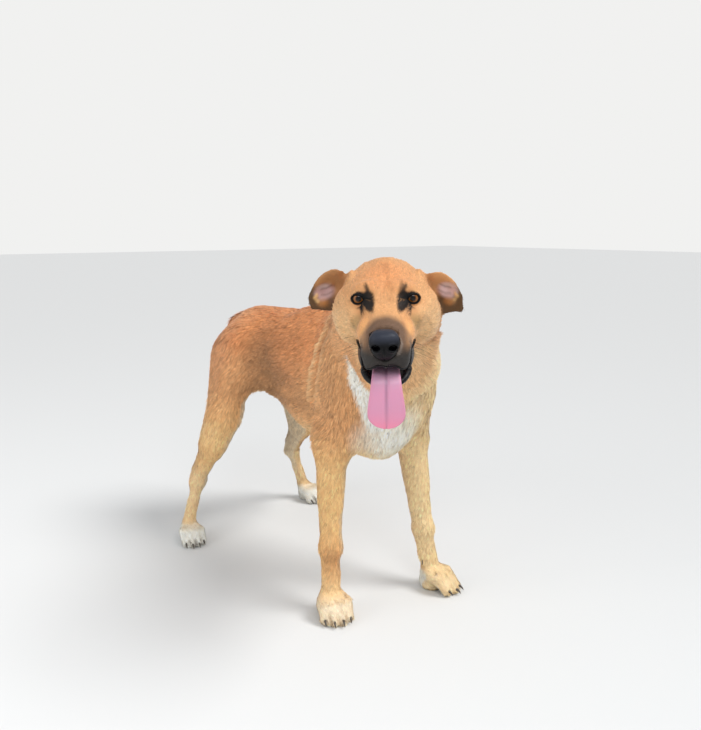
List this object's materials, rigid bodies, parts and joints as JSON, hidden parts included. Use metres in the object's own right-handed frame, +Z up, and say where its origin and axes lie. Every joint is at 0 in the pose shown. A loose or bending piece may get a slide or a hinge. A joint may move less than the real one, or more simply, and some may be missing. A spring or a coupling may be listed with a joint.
{
  "type": "dog",
  "caption": "Life-size standing short-coated dog, head turned to its right, ears held sideways, mouth open with its tongue out; a still display model with no joints.",
  "frame": {"origin": "middle of the dog's box at floor level, under its trunk", "axes": "+Z up, -Y the way the trunk faces, +X the dog's left side"},
  "size_m": [0.4502, 0.8786, 0.6386],
  "materials": {
    "coat": "matte, short dense fur, tan with white chest and toes",
    "nose": "moist black, fine pebbled grain",
    "tongue": "moist pink, finely pimpled",
    "eye": "wet and clear over a brown iris",
    "claw": "dark horn, worn smooth"
  },
  "bodies": {
    "root": {"tail": "coat", "trunk": "coat", "neck": "coat", "foreleg_right": "coat", "foreleg_left": "coat", "claw_fore_right_dew": "claw", "claw_fore_left_dew": "claw", "thigh_right": "coat", "thigh_left": "coat", "hindleg_right": "coat", "hindleg_left": "coat", "paw_fore_right": "coat", "paw_fore_left": "coat", "paw_hind_right": "coat", "paw_hind_left": "coat", "claw_fore_right_inner": "claw", "claw_fore_right_mid_inner": "claw", "claw_fore_right_mid_outer": "claw", "claw_fore_right_outer": "claw", "claw_fore_left_inner": "claw", "claw_fore_left_mid_inner": "claw", "claw_fore_left_mid_outer": "claw", "claw_fore_left_outer": "claw", "claw_hind_right_inner": "claw", "claw_hind_right_mid_inner": "claw", "claw_hind_right_mid_outer": "claw", "claw_hind_right_outer": "claw", "claw_hind_left_inner": "claw", "claw_hind_left_mid_inner": "claw", "claw_hind_left_mid_outer": "claw", "claw_hind_left_outer": "claw", "head": "coat", "lower_jaw": "coat", "nose": "nose", "tongue": "tongue", "ear_right": "coat", "ear_left": "coat", "eye_right": "eye", "eye_left": "eye"}
  },
  "joints": []
}
